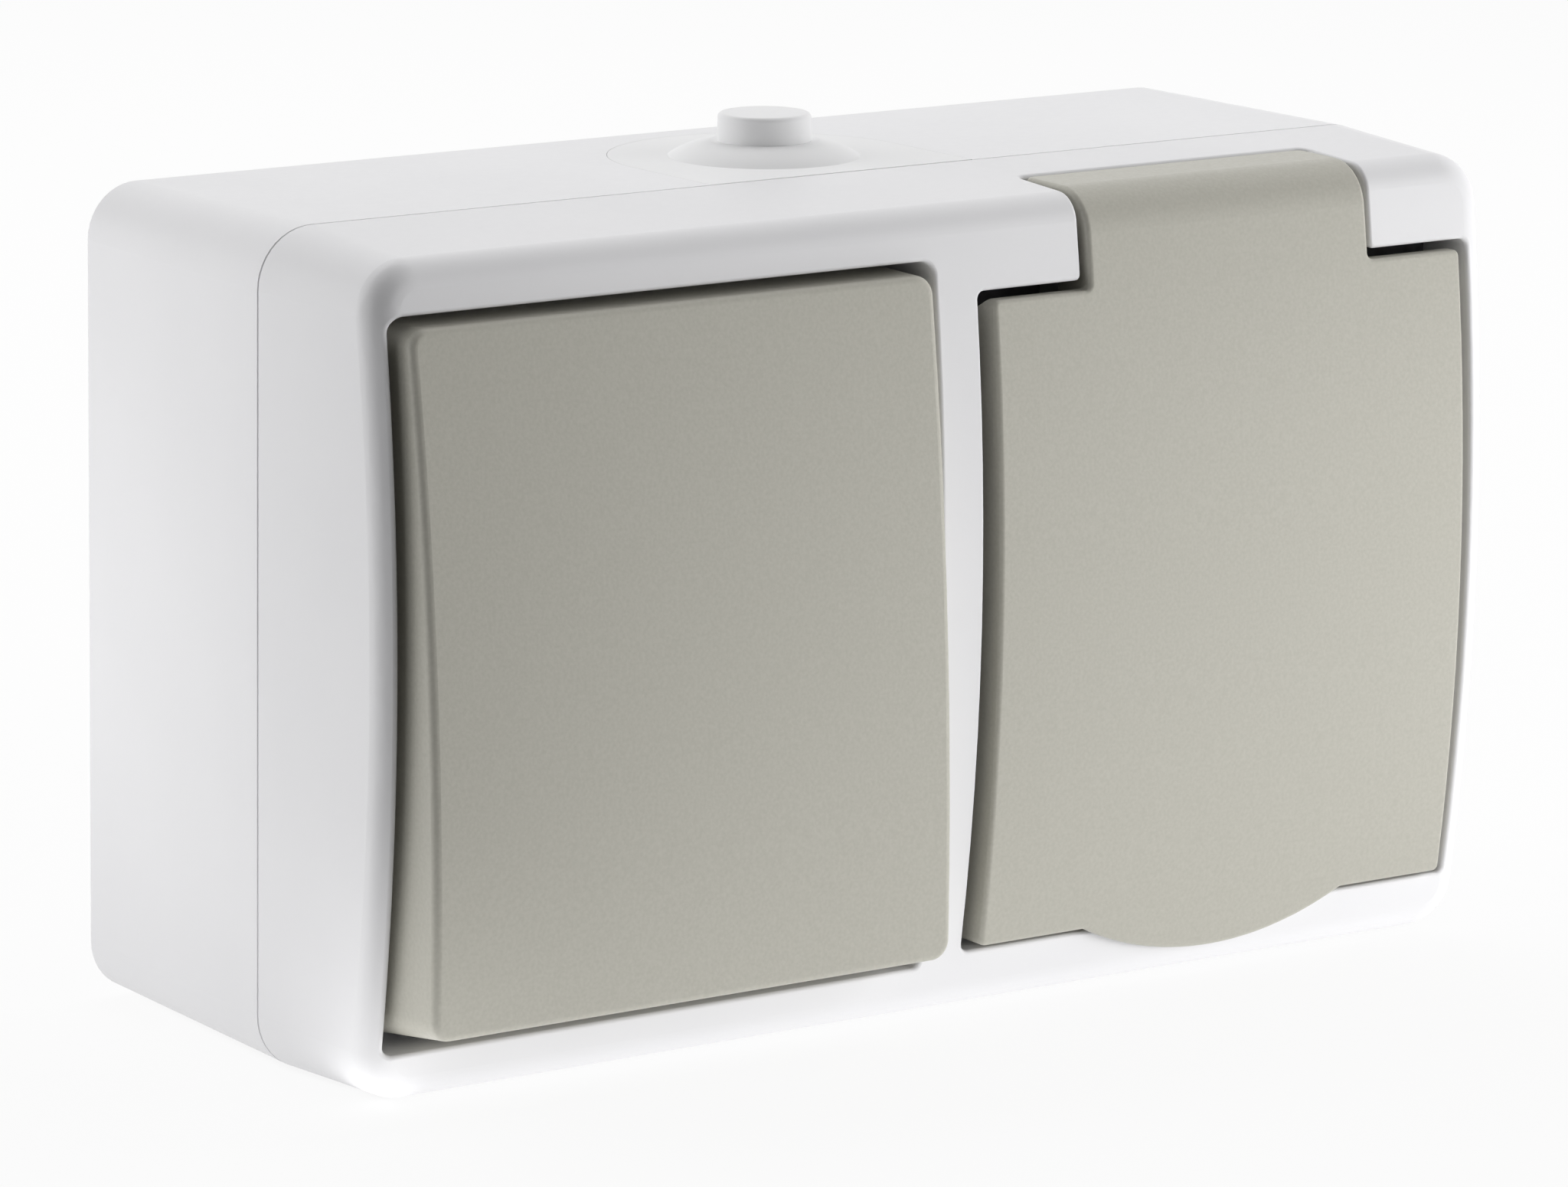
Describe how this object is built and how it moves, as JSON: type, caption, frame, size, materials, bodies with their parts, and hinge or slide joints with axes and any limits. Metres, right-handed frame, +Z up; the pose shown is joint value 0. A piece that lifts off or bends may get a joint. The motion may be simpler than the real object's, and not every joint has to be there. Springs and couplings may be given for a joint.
{
  "type": "switch and socket combination",
  "caption": "Surface-mounted wall box with a tilting light switch rocker beside an earthed round socket under a sprung hinged lid, and a cable grommet on top.",
  "frame": {"origin": "centre of the flat back face that lies on the wall", "axes": "+X to the right seen from the front, +Y into the wall, +Z up"},
  "size_m": [0.14, 0.0607, 0.0899],
  "materials": {
    "white_plastic": "satin white moulded plastic",
    "grey_plastic": "fine matte warm grey moulded plastic",
    "white_rubber": "soft white moulded rubber",
    "dark_rubber": "soft dark rubber",
    "base_plastic": "matte off-white moulded plastic",
    "steel": "zinc-plated steel",
    "brass": "plain brass"
  },
  "bodies": {
    "housing": {"back_box": "white_plastic", "front_cover": "white_plastic", "entry_grommet": "white_rubber", "socket_insert": "grey_plastic", "box_seal": "dark_rubber", "switch_gasket": "dark_rubber", "insert_gasket": "dark_rubber", "switch_base": "base_plastic", "socket_base": "base_plastic", "cover_screws": "steel", "switch_fixing_screws": "steel", "socket_fixing_screws": "steel", "socket_centre_screw": "steel", "switch_terminal_screws": "steel", "socket_terminal_screws": "steel", "earth_bracket": "steel", "hinge_pin": "steel", "lid_spring": "steel", "common_contact": "brass", "upper_contact": "brass", "lower_contact": "brass", "live_contact": "brass", "neutral_contact": "brass"},
    "rocker": {"switch_rocker": "grey_plastic", "rocker_plunger": "base_plastic", "rocker_spring": "steel"},
    "lever": {"contact_lever": "brass"},
    "lid": {"socket_lid": "grey_plastic", "lid_gasket": "dark_rubber"}
  },
  "joints": [
    {"name": "rocker_tilt", "type": "hinge", "parent": "housing", "child": "rocker", "pos_m": [-0.03501, -0.046, 0], "axis": [1, 0, 0], "range_deg": [0, 8.4]},
    {"name": "lever_tilt", "type": "hinge", "parent": "housing", "child": "lever", "pos_m": [-0.03501, -0.032, 0], "axis": [1, 0, 0], "range_deg": [-11.2, 0]},
    {"name": "lid_hinge", "type": "hinge", "parent": "housing", "child": "lid", "pos_m": [0.03431, -0.04934, 0.03725], "axis": [-1, 0, 0], "range_deg": [0, 105], "stiffness_Nm_per_rad": 0.006, "springref_deg": -34.38}
  ],
  "couplings": [
    {"joint": "lever_tilt", "follows": "rocker_tilt", "ratio": -1.3333}
  ]
}
